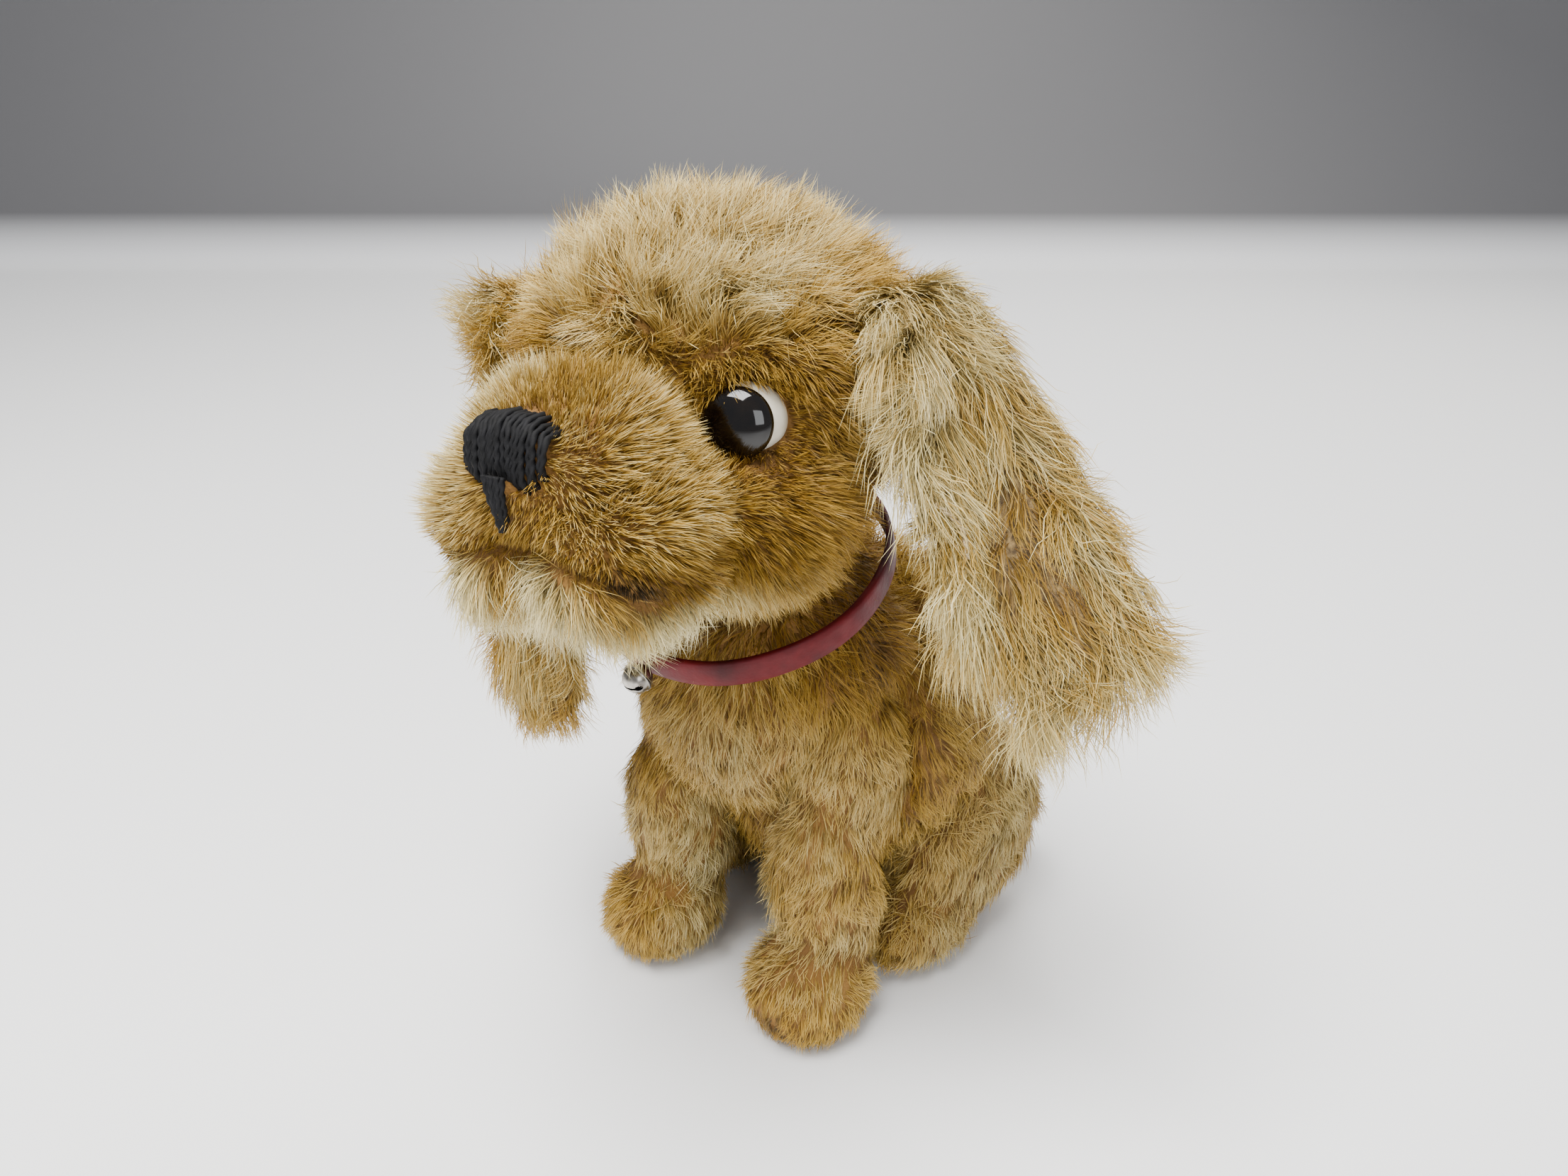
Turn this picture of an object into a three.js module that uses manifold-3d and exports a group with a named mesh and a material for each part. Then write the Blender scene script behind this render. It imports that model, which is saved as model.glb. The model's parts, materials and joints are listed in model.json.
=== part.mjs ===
// A small sitting plush spaniel puppy with a swivelling head, long hanging ears, a collar and a bell.
// Millimetres, +Z up, the face towards -Y, the puppy's left side towards +X.
// The covers are sewn mohair shells around firm filling; the head turns on a pair of board discs.
import * as THREE from "three";
import { mergeVertices } from "three/addons/utils/BufferGeometryUtils.js";
import Module from "manifold-3d";

const wasm = await Module();
wasm.setup();

// Driving dimensions
const CLOTH = 1.3; // thickness of the backing cloth and the packed foot of its pile
const GAP = 0.3; // clearance between neighbouring pieces
const DETAIL = 0.2; // surface detail finer than this is left out of the cut pieces
const NECK = new THREE.Vector3(0, 9, 81); // middle of the neck joint, above and behind the front paws
const NECK_LEAN = THREE.MathUtils.degToRad(20); // the neck axis leans forward
const HEAD_TURN = THREE.MathUtils.degToRad(8); // the head looks a little to its left
const DISC_RADIUS = 13.2;
const DISC_THICKNESS = 1.6;
const WASHER_RADIUS = 3.6;
const PIN_RADIUS = 0.8;
const EYE_RADIUS = 5;
const EYE_SPACING = 31.4;
const EYE_PLACE = { y: -21.3, z: 29.5 };
const NOSE_PLACE = { y: -48.2, z: 31.4 };
const COLLAR_RADIUS = 22.3; // inside of the strap
const COLLAR_WIDTH = 4.6;
const COLLAR_THICKNESS = 1.1;
const BELL_RADIUS = 2.2;
const EAR_WIDTH = 22;
const EAR_SHEET = 1.5; // thickness of each of an ear's two sheets
const NOSE_TILT = -14; // degrees, the nose pad faces a little upwards
const COLLAR_LOW = -3.6; // lower edge of the strap below the neck plane

// Round forms, each as [centre, radii, turn about X in degrees]
const TORSO = [
  [[0, 13.5, 60], [21, 18.5, 24], 0],
  [[0, 11, 76], [17.5, 16.5, 14], 0],
  [[0, 35.5, 42.5], [28, 22.5, 31], -26],
  [[0, 43, 25], [26, 23, 27.5], 0],
];
const FRONT_LEG = [
  [[15.6, 16, 46], [9.6, 12, 18], 12],
  [[16.2, 10, 25], [9.2, 10.2, 21], 8],
  [[16.6, 5, 7.8], [10.6, 12.3, 9.3], 0],
];
const HIND_LEG = [
  [[23, 46, 20], [11, 21, 20], 0],
  [[22.5, 33, 8.5], [9.4, 16, 9.5], 0],
];
const SKULL = [
  [[0, -5.5, 29], [28, 22.5, 21], 0],
  [[0, -3, 34], [26.2, 20, 17.5], 0],
  [[0, -1, 12], [18, 16.5, 14], 0],
];
const MUZZLE = [
  [[0, -34.5, 26], [12, 15.5, 10.5], 0],
  [[7.2, -35, 16.8], [10.8, 14.5, 10.8], 0],
  [[-7.2, -35, 16.8], [10.8, 14.5, 10.8], 0],
  [[14, -17.5, 17.8], [11.3, 14.5, 13], 0],
  [[-14, -17.5, 17.8], [11.3, 14.5, 13], 0],
  [[0, -25, 12], [10, 13, 8], 0],
];
const TAIL = [
  [[0, 64, 15], [5.5, 8, 6], 0],
  [[0, 69.5, 19], [4.2, 6, 5.5], 30],
];

// Materials
const paint = (color, roughness, metalness = 0) =>
  new THREE.MeshStandardMaterial({ color, roughness, metalness });
const GOLD_PILE = paint(0xc8964f, 0.9);
const PALE_PILE = paint(0xdcc494, 0.9);
const EAR_PILE = paint(0xd8bd88, 0.9);
const FILLING = paint(0xb59a63, 1);
const BOARD = paint(0x8a6a44, 0.85);
const STEEL = paint(0x9a9a98, 0.35, 0.9);
const NICKEL = paint(0xb8b4aa, 0.25, 1);
const WHITE_GLASS = paint(0xf2efe6, 0.1);
const BLACK_GLASS = paint(0x0b0806, 0.05);
const FLOSS = paint(0x15151a, 0.7);
const RED_STRAP = paint(0x7d1f2c, 0.4);

// Closed geometry to a solid, and a solid back to geometry
function solid(geometry) {
  const bare = new THREE.BufferGeometry();
  bare.setAttribute("position", geometry.getAttribute("position"));
  if (geometry.index) bare.setIndex(geometry.index);
  const merged = mergeVertices(bare, 1e-4);
  return new wasm.Manifold(
    new wasm.Mesh({
      numProp: 3,
      vertProperties: merged.attributes.position.array,
      triVerts: new Uint32Array(merged.index.array),
    }),
  );
}

function geometryOf(body) {
  const { vertProperties, triVerts } = body.getMesh();
  const geometry = new THREE.BufferGeometry();
  geometry.setAttribute("position", new THREE.BufferAttribute(new Float32Array(vertProperties), 3));
  geometry.setIndex(new THREE.BufferAttribute(new Uint32Array(triVerts), 1));
  geometry.computeVertexNormals();
  return geometry;
}

function mesh(name, shape, material) {
  const geometry = shape.isBufferGeometry ? shape : geometryOf(shape);
  const made = new THREE.Mesh(geometry, material);
  made.name = name;
  return made;
}

const union = (bodies) => bodies.reduce((whole, body) => whole.add(body));

function ellipsoid([centre, radii, turn], inset, columns, rows) {
  const geometry = new THREE.SphereGeometry(1, columns, rows);
  geometry.rotateX(Math.PI / 2);
  geometry.scale(...radii.map((r) => r - inset));
  geometry.rotateX(THREE.MathUtils.degToRad(turn));
  geometry.translate(...centre);
  return solid(geometry);
}

const blend = (forms, inset = 0, columns = 12, rows = 8, detail = DETAIL) =>
  union(forms.map((form) => ellipsoid(form, inset, columns, rows))).asOriginal().simplify(detail);

// The inside of a cover, and the filling in it, need fewer faces than the outside
const core = (forms, inset) => blend(forms, inset, 10, 6, 3 * DETAIL);

function block(low, high) {
  const size = high.map((h, i) => h - low[i]);
  const geometry = new THREE.BoxGeometry(...size);
  geometry.translate(...low.map((l, i) => l + size[i] / 2));
  return solid(geometry);
}

// A vertical prism over a half outline given as [half width, y] from front to back
function prism(halfOutline, grow, low, high) {
  const points = [
    ...halfOutline.map(([x, y]) => new THREE.Vector2(x + grow, y)),
    ...halfOutline.map(([x, y]) => new THREE.Vector2(-x - grow, y)).reverse(),
  ];
  const outline = new THREE.Shape(points);
  const geometry = new THREE.ExtrudeGeometry(outline, { depth: high - low, bevelEnabled: false });
  geometry.translate(0, 0, low);
  return solid(geometry);
}

const mirrored = (form) => [[-form[0][0], form[0][1], form[0][2]], form[1], form[2]];

// A disc or washer about Z with a centre hole, from height low to height high
function ring(inner, outer, low, high, steps = 32) {
  const profile = [
    [inner, low],
    [outer, low],
    [outer, high],
    [inner, high],
    [inner, low],
  ].map(([r, z]) => new THREE.Vector2(r, z));
  const geometry = new THREE.LatheGeometry(profile, steps);
  geometry.rotateX(Math.PI / 2);
  return solid(geometry);
}

function cylinder(radius, low, high, steps = 24) {
  const geometry = new THREE.CylinderGeometry(radius, radius, high - low, steps);
  geometry.rotateX(Math.PI / 2);
  geometry.translate(0, 0, (low + high) / 2);
  return solid(geometry);
}

// The neck's frame as the torso and the upright head see it
const WIDE = 120;
const neckTransform = new THREE.Matrix4().makeRotationX(NECK_LEAN).setPosition(NECK);
const headTransform = new THREE.Matrix4().makeRotationX(NECK_LEAN);
const moved = (body, matrix) => body.transform(matrix.elements);
const ABOVE_FLOOR = block([-WIDE, -WIDE, 0], [WIDE, WIDE, WIDE * 2]);

// Torso: two side panels, a chest gusset, filling, legs and tail
function buildTorso() {
  const group = new THREE.Group();
  const belowNeck = (drop) => moved(block([-WIDE, -WIDE, -WIDE * 2], [WIDE, WIDE, -drop]), neckTransform);
  const frontLegs = [FRONT_LEG, FRONT_LEG.map(mirrored)];
  const hindLegs = [HIND_LEG, HIND_LEG.map(mirrored)];
  const legRoom = union([...frontLegs, ...hindLegs].map((leg) => blend(leg, -2 * GAP)));
  const whole = blend(TORSO).intersect(ABOVE_FLOOR).intersect(belowNeck(GAP)).subtract(legRoom);
  const neckHole = moved(cylinder(DISC_RADIUS + GAP, -DISC_THICKNESS - 2 * GAP, 1), neckTransform);
  const legRoomInside = union([...frontLegs, ...hindLegs].map((leg) => core(leg, -2 * GAP - CLOTH)));
  const inside = core(TORSO, CLOTH)
    .intersect(block([-WIDE, -WIDE, CLOTH], [WIDE, WIDE, WIDE]))
    .subtract(legRoomInside);
  const shell = whole.subtract(inside).subtract(neckHole);
  const chestLine = [[3, -30], [11, -8], [11, 11]];
  const cutAcross = block([-GAP / 2, -WIDE, -1], [GAP / 2, WIDE, WIDE]);
  const chest = shell.intersect(prism(chestLine, 0, 14, WIDE));
  const chestRoom = prism([[3, -31], [11, -8], [11, 11 + GAP]], GAP, 14 - GAP, WIDE);
  const sides = shell.subtract(chestRoom).subtract(cutAcross);
  const left = sides.intersect(block([0, -WIDE, 0], [WIDE, WIDE, WIDE]));
  const right = sides.intersect(block([-WIDE, -WIDE, 0], [0, WIDE, WIDE]));
  const pinRoom = moved(cylinder(WASHER_RADIUS + GAP, -8, 0), neckTransform);
  const filling = core(TORSO, CLOTH + 2 * GAP)
    .intersect(block([-WIDE, -WIDE, CLOTH + 2 * GAP], [WIDE, WIDE, WIDE]))
    .intersect(belowNeck(DISC_THICKNESS + 2.5 * GAP))
    .subtract(union([...frontLegs, ...hindLegs].map((leg) => core(leg, -4 * GAP - CLOTH))))
    .subtract(pinRoom);
  group.add(mesh("body_side_left", largest(left), GOLD_PILE));
  group.add(mesh("body_side_right", largest(right), GOLD_PILE));
  group.add(mesh("chest_gusset", largest(chest), PALE_PILE));
  group.add(mesh("body_filling", largest(filling), FILLING));
  const sets = { front_leg: frontLegs, hind_leg: hindLegs };
  for (const [name, [leftLeg, rightLeg]] of Object.entries(sets)) {
    for (const [side, leg] of [["left", leftLeg], ["right", rightLeg]]) {
      group.add(mesh(`${name}_${side}`, largest(blend(leg).intersect(ABOVE_FLOOR)), GOLD_PILE));
    }
  }
  const tail = blend(TAIL, 0, 10, 6).subtract(blend(TORSO, -2 * GAP));
  group.add(mesh("tail", largest(tail), GOLD_PILE));
  return group;
}

// The piece of a cut body that holds nearly all of it, without slivers and needless faces
function largest(body) {
  return body.asOriginal().simplify(DETAIL).decompose().sort((a, b) => b.volume() - a.volume())[0];
}

// Neck hardware that stays with the body: a board disc, a washer and the split pin
function buildNeckJoint() {
  const group = new THREE.Group();
  const lowerDisc = ring(PIN_RADIUS + 0.2, DISC_RADIUS, -GAP - DISC_THICKNESS, -GAP);
  group.add(mesh("neck_disc_lower", lowerDisc, BOARD));
  const washerTop = -GAP - DISC_THICKNESS - GAP;
  const lowerWasher = ring(PIN_RADIUS + 0.2, WASHER_RADIUS, washerTop - 0.8, washerTop, 20);
  group.add(mesh("neck_washer_lower", lowerWasher, STEEL));
  const shankTop = 2 * GAP + DISC_THICKNESS + 0.8 + 1.4;
  const shank = cylinder(PIN_RADIUS, washerTop - 0.8 - 2.4, shankTop, 12);
  const eye = new THREE.TorusGeometry(1.5, 0.6, 6, 12);
  eye.rotateX(Math.PI / 2);
  eye.translate(0, 0, washerTop - 0.8 - GAP - 2.1);
  const legs = [1, -1].map((side) => {
    const bend = new THREE.CapsuleGeometry(0.55, 2.4, 2, 8);
    bend.rotateZ(Math.PI / 2);
    bend.translate(side * 1.2, 0, shankTop - 0.3);
    return solid(bend);
  });
  group.add(mesh("cotter_pin", union([shank, solid(eye), ...legs]), STEEL));
  return group;
}

// Head: a top gusset, two sides, a chin panel and filling, in the upright head's frame
function buildHeadCover() {
  const group = new THREE.Group();
  const forms = [...SKULL, ...MUZZLE];
  const aboveNeck = (rise) => moved(block([-WIDE, -WIDE, rise], [WIDE, WIDE, WIDE * 2]), headTransform);
  const eyes = [1, -1].map((side) => eyeRoom(side));
  const whole = blend(forms).intersect(aboveNeck(GAP));
  const discRoom = moved(cylinder(DISC_RADIUS + GAP, -1, DISC_THICKNESS + 2 * GAP), headTransform);
  const noseRoom = solid(noseGeometry(2 * GAP));
  const emptied = [core(forms, CLOTH), discRoom, noseRoom, ...eyes];
  const shell = whole.subtract(union(emptied));
  const line = [[5.5, -60], [9, -34], [16, -18], [17.5, -4], [14, 10], [8, 30]];
  const gussetFloor = 17;
  const chinTop = 9;
  const chinLine = [[8, -60], [8, -18]];
  const gusset = shell.intersect(prism(line, 0, gussetFloor, WIDE));
  const chin = shell.intersect(prism(chinLine, 0, -5, chinTop));
  const cutAcross = block([-GAP / 2, -WIDE, -WIDE], [GAP / 2, WIDE, WIDE]);
  const sides = shell
    .subtract(prism(line, GAP, gussetFloor - GAP, WIDE))
    .subtract(prism([[8, -60], [8, -18 + GAP]], GAP, -5, chinTop + GAP))
    .subtract(cutAcross);
  const left = sides.intersect(block([0, -WIDE, -WIDE], [WIDE, WIDE, WIDE]));
  const right = sides.intersect(block([-WIDE, -WIDE, -WIDE], [0, WIDE, WIDE]));
  const pinRoom = moved(cylinder(WASHER_RADIUS + GAP, 0, 8), headTransform);
  const filling = core(forms, CLOTH + 2 * GAP)
    .intersect(aboveNeck(DISC_THICKNESS + 2.5 * GAP))
    .subtract(union(eyes))
    .subtract(noseRoom)
    .subtract(pinRoom);
  group.add(mesh("head_side_left", largest(left), GOLD_PILE));
  group.add(mesh("head_side_right", largest(right), GOLD_PILE));
  group.add(mesh("head_gusset", largest(gusset), PALE_PILE));
  group.add(mesh("chin_panel", largest(chin), PALE_PILE));
  group.add(mesh("head_filling", largest(filling), FILLING));
  return group;
}

// Eyes: a black domed pupil on a white glass ball, with a looped wire shank in the filling
const PUPIL_RADIUS = 4.4;
const PUPIL_SINK = 1.6; // how far the pupil's dome is set back into the white ball
const PUPIL_SHIFT = 0.6; // how far it sits towards the muzzle
function eyeMatrix(side) {
  const turn = new THREE.Euler(THREE.MathUtils.degToRad(4), 0, THREE.MathUtils.degToRad(side * 17));
  const place = new THREE.Vector3((side * EYE_SPACING) / 2, EYE_PLACE.y, EYE_PLACE.z);
  return new THREE.Matrix4().makeRotationFromEuler(turn).setPosition(place);
}

// The pupil sits off centre, so that a white crescent shows on its outer side
function pupil(side, grow) {
  const place = [-side * PUPIL_SHIFT, -EYE_RADIUS - 0.6 + PUPIL_SINK, 0.5];
  return ellipsoid([place, [PUPIL_RADIUS + grow, 2.1 + grow, PUPIL_RADIUS + grow], 0], 0, 16, 8);
}

function eyeRoom(side) {
  const ball = ellipsoid([[0, 0, 0], Array(3).fill(EYE_RADIUS + 2 * GAP), 0], 0, 16, 10);
  const wire = block([-1.6, 0, -1.6], [1.6, EYE_RADIUS + 5.6, 1.6]);
  return moved(union([ball, pupil(side, 2 * GAP), wire]), eyeMatrix(side));
}

function buildEye(name, side) {
  const group = new THREE.Group();
  const ball = ellipsoid([[0, 0, 0], Array(3).fill(EYE_RADIUS), 0], 0, 16, 10);
  const backwards = new THREE.Matrix4().makeRotationX(-Math.PI / 2).setPosition(0, EYE_RADIUS - 2, 0);
  const shankRoom = moved(cylinder(0.8, 0, 9, 10), backwards);
  group.add(mesh(`${name}_ball`, ball.subtract(pupil(side, 0.08)).subtract(shankRoom), WHITE_GLASS));
  group.add(mesh(`${name}_pupil`, pupil(side, 0), BLACK_GLASS));
  const wire = new THREE.CylinderGeometry(0.45, 0.45, 5.2, 8);
  wire.translate(0, EYE_RADIUS - 1.4 + 2.6, 0);
  const loop = new THREE.TorusGeometry(0.9, 0.4, 6, 10);
  loop.translate(0, EYE_RADIUS + 4.3, 0);
  group.add(mesh(`${name}_shank`, solid(wire).add(solid(loop)), STEEL));
  group.applyMatrix4(eyeMatrix(side));
  return group;
}

// Nose: a pad of satin stitches, two lobes wide, with a short tongue of floss below it
function noseGeometry(grow) {
  const w = 5.4 + grow;
  const h = 4.2 + grow;
  const outline = new THREE.Shape();
  outline.moveTo(0, h);
  outline.bezierCurveTo(w * 0.7, h * 1.1, w * 1.1, h * 0.6, w, -h * 0.1);
  outline.bezierCurveTo(w * 0.95, -h * 0.75, w * 0.6, -h * 0.95, w * 0.34, -h * 0.62);
  outline.lineTo(w * 0.1 + grow, -h * 1.75);
  outline.lineTo(-w * 0.1 - grow, -h * 1.75);
  outline.lineTo(-w * 0.34, -h * 0.62);
  outline.bezierCurveTo(-w * 0.6, -h * 0.95, -w * 0.95, -h * 0.75, -w, -h * 0.1);
  outline.bezierCurveTo(-w * 1.1, h * 0.6, -w * 0.7, h * 1.1, 0, h);
  const depth = 4 + 2 * grow;
  const geometry = new THREE.ExtrudeGeometry(outline, { depth, bevelEnabled: false, curveSegments: 6 });
  geometry.rotateX(Math.PI / 2);
  geometry.translate(0, 4 + grow, 0);
  geometry.rotateX(THREE.MathUtils.degToRad(NOSE_TILT));
  geometry.translate(0, NOSE_PLACE.y, NOSE_PLACE.z);
  return geometry;
}

// Ears: an outer and an inner sheet of one outline, hinged on the seam along their top edge.
// Along is 0 at the seam and 1 at the ear's rounded end.
function earHalfWidth(along) {
  const spread = THREE.MathUtils.lerp(0.75, 1, THREE.MathUtils.smoothstep(along, 0, 0.35));
  const rounding = along > 0.72 ? Math.sqrt(1 - ((along - 0.72) / 0.3) ** 2) : 1;
  return (EAR_WIDTH / 2) * spread * rounding;
}

// A sheet between two heights over the ear's middle surface, which twists about its length
function earSheet({ length, twist }, inset, low, high) {
  const geometry = new THREE.BoxGeometry(2, 1, 1, 4, 16, 1);
  const position = geometry.getAttribute("position");
  const lengthwise = new THREE.Vector3(0, 1, 0);
  const point = new THREE.Vector3();
  for (let i = 0; i < position.count; i += 1) {
    point.fromBufferAttribute(position, i);
    const along = 0.5 - point.y;
    point.x *= earHalfWidth(along) - inset;
    point.y = -along * (length - inset);
    point.z = point.z > 0 ? high : low;
    point.applyAxisAngle(lengthwise, (-THREE.MathUtils.degToRad(twist) * point.y) / length);
    position.setXYZ(i, point.x, point.y, point.z);
  }
  return geometry;
}

// In an ear's own frame the seam lies along X, the ear hangs towards -Y and its outer face looks to +Z
function buildEar(name, ear) {
  const group = new THREE.Group();
  const outer = earSheet(ear, 0, GAP / 2, GAP / 2 + EAR_SHEET);
  const inner = earSheet(ear, 0.8, -GAP / 2 - EAR_SHEET, -GAP / 2);
  group.add(mesh(name, outer, EAR_PILE), mesh(`${name}_lining`, inner, EAR_PILE));
  group.applyMatrix4(earFrame(ear));
  return group;
}

// Where an ear hangs from the head: its seam's middle, the way it hangs and the way its outer face looks
function earFrame({ middle, hang, look }) {
  const down = new THREE.Vector3(...hang).normalize();
  const face = new THREE.Vector3(...look);
  face.addScaledVector(down, -face.dot(down)).normalize();
  const across = new THREE.Vector3().crossVectors(down.clone().negate(), face);
  return new THREE.Matrix4().makeBasis(across, down.clone().negate(), face).setPosition(...middle);
}

// The left ear is puckered along its length, so it hangs a little shorter than the right one
const EARS = {
  ear_left: {
    length: 56,
    twist: -42,
    middle: [27.2, 0, 41.5],
    hang: [0.5, -0.08, -0.85],
    look: [0.95, -0.1, 0.5],
  },
  ear_right: {
    length: 69,
    twist: 84,
    middle: [-32.7, -3, 39],
    hang: [0.01, -0.16, -1],
    look: [-1, -0.12, 0],
  },
};

// Collar: a strap closed by a rivet at the back, with a hole at the front for the bell's shank
const COLLAR_MIDDLE = COLLAR_LOW + COLLAR_WIDTH / 2;
const COLLAR_FRONT = -COLLAR_RADIUS - COLLAR_THICKNESS; // outer face of the strap in front
const SHANK_RADIUS = 0.45;

function buildCollar() {
  const group = new THREE.Group();
  const outer = COLLAR_RADIUS + COLLAR_THICKNESS;
  const place = new THREE.Vector3(0, COLLAR_FRONT, COLLAR_MIDDLE);
  const frontwards = new THREE.Matrix4().makeRotationX(Math.PI / 2).setPosition(place);
  const hole = moved(cylinder(SHANK_RADIUS + GAP, -2, 2, 12), frontwards);
  const strap = ring(COLLAR_RADIUS, outer, COLLAR_LOW, COLLAR_LOW + COLLAR_WIDTH, 48).subtract(hole);
  group.add(mesh("collar_strap", strap, RED_STRAP));
  const rivet = new THREE.CylinderGeometry(1.5, 1.5, 0.7, 16);
  rivet.translate(0, outer + GAP + 0.35, COLLAR_MIDDLE);
  group.add(mesh("collar_rivet", rivet, NICKEL));
  return group;
}

// Bell: two hollow half balls, the front one slotted, and a loose pellet inside. A split shank runs
// from its back half through the strap. Along the group's Z the shank points back at the neck.
const BELL_WALL = 0.4;
const PELLET_RADIUS = 0.6;
const BELL_FORWARD = BELL_RADIUS + 0.5; // middle of the ball in front of the strap's face

function halfBall(low, high, steps) {
  const arc = (radius) =>
    Array.from({ length: steps + 1 }, (_, i) => {
      const angle = THREE.MathUtils.lerp(low, high, i / steps);
      return new THREE.Vector2(Math.max(0, Math.cos(angle) * radius), Math.sin(angle) * radius);
    });
  const outer = arc(BELL_RADIUS);
  const profile = [...outer, ...arc(BELL_RADIUS - BELL_WALL).reverse(), outer[0].clone()];
  const geometry = new THREE.LatheGeometry(profile, 16);
  geometry.rotateX(Math.PI / 2);
  return solid(geometry);
}

function buildBell() {
  const group = new THREE.Group();
  const seam = GAP / 2 / BELL_RADIUS;
  const shankHole = cylinder(SHANK_RADIUS + GAP, 0, BELL_RADIUS + 1, 12);
  const back = halfBall(seam, Math.PI / 2, 5).subtract(shankHole);
  const slot = block([-BELL_RADIUS, -0.3, -BELL_RADIUS - 1], [BELL_RADIUS, 0.3, -1]);
  const front = halfBall(-Math.PI / 2, -seam, 5).subtract(slot);
  group.add(mesh("bell_back", back, NICKEL), mesh("bell_front", front, NICKEL));
  const strapBack = BELL_FORWARD + COLLAR_THICKNESS;
  const shank = cylinder(SHANK_RADIUS, BELL_RADIUS - BELL_WALL - 0.6, strapBack + 0.7, 12);
  const head = cylinder(0.9, BELL_RADIUS - BELL_WALL - 0.95, BELL_RADIUS - BELL_WALL - 0.55, 12);
  const spread = block([-0.4, -1.3, strapBack + GAP], [0.4, 1.3, strapBack + GAP + 0.5]);
  group.add(mesh("bell_shank", union([shank, head, spread]), STEEL));
  const down = new THREE.Vector3(0, Math.cos(NECK_LEAN), -Math.sin(NECK_LEAN));
  const pellet = mesh("bell_pellet", new THREE.SphereGeometry(PELLET_RADIUS, 10, 6), STEEL);
  pellet.position.copy(down).multiplyScalar(BELL_RADIUS - BELL_WALL - PELLET_RADIUS - GAP / 2);
  group.add(pellet);
  group.rotation.x = -Math.PI / 2;
  group.position.set(0, COLLAR_FRONT - BELL_FORWARD, COLLAR_MIDDLE);
  return group;
}

// The whole puppy: the torso stands on the floor, and the neck's group carries what turns on it
function buildPuppy() {
  const stance = new THREE.Group();
  stance.add(buildTorso());
  const neck = new THREE.Group();
  neck.position.copy(NECK);
  neck.rotation.x = NECK_LEAN;
  neck.add(buildNeckJoint(), buildCollar(), buildBell());
  const swivel = new THREE.Group();
  swivel.rotation.z = HEAD_TURN;
  const discTop = GAP + DISC_THICKNESS;
  swivel.add(mesh("neck_disc_upper", ring(PIN_RADIUS + 0.2, DISC_RADIUS, GAP, discTop), BOARD));
  const upperWasher = ring(PIN_RADIUS + 0.2, WASHER_RADIUS, discTop + GAP, discTop + GAP + 0.8, 20);
  swivel.add(mesh("neck_washer_upper", upperWasher, STEEL));
  const head = new THREE.Group();
  head.rotation.x = -NECK_LEAN;
  head.add(buildHeadCover(), buildEye("eye_left", 1), buildEye("eye_right", -1));
  head.add(mesh("nose_stitching", solid(noseGeometry(0)), FLOSS));
  for (const [name, ear] of Object.entries(EARS)) head.add(buildEar(name, ear));
  swivel.add(head);
  neck.add(swivel);
  stance.add(neck);
  // The origin is the middle of the footprint of the puppy's box, on the floor
  stance.updateMatrixWorld(true);
  const middle = new THREE.Box3().setFromObject(stance, true).getCenter(new THREE.Vector3());
  stance.position.set(-middle.x, -middle.y, 0);
  const puppy = new THREE.Group();
  puppy.add(stance);
  return puppy;
}

export default buildPuppy();
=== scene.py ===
"""Looks of a sitting mohair puppy: sewn skins, strands of pile, glass eyes, thread nose, collar and bell."""

import json
import math

import bmesh
import bpy
import numpy as np
from mathutils import Matrix, Vector
from mathutils.kdtree import KDTree


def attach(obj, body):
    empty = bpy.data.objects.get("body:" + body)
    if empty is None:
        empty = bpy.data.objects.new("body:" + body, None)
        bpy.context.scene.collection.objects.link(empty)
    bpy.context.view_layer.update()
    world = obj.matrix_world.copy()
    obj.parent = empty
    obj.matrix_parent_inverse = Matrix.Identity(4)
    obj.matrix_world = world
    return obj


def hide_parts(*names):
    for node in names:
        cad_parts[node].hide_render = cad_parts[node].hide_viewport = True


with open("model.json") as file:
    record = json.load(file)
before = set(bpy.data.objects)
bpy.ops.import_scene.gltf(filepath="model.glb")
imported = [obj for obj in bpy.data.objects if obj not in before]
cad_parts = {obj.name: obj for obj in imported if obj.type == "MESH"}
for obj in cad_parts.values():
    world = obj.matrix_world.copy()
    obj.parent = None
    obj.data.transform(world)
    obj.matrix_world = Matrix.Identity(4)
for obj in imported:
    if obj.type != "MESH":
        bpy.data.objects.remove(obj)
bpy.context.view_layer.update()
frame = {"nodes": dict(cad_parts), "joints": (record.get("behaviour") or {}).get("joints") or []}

MM = 0.001
JOINTS = {j["name"]: j for j in frame["joints"]}
NODES = frame["nodes"]

# ---------------------------------------------------------------- the CAD's own frames, in millimetres

HEAD_TURN = 8  # degrees that the head looks to its left
COLLAR_LOW, COLLAR_WIDTH, COLLAR_RADIUS, COLLAR_THICKNESS = -3.6, 4.6, 22.3, 1.1
BELL_RADIUS = 2.2
EAR_LENGTH = {"ear_left": 56, "ear_right": 69}
EAR_TWIST = {"ear_left": -42, "ear_right": 84}  # degrees, from the seam to the ear's end
EAR_HALF_WIDTH = 11
EYE_RADIUS = 5
PUPIL_RADIUS, PUPIL_RISE = 4.4, 2.1
NECK_LEAN = math.degrees(math.atan2(-JOINTS["head_swivel"]["axis"][1], JOINTS["head_swivel"]["axis"][2]))

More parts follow.
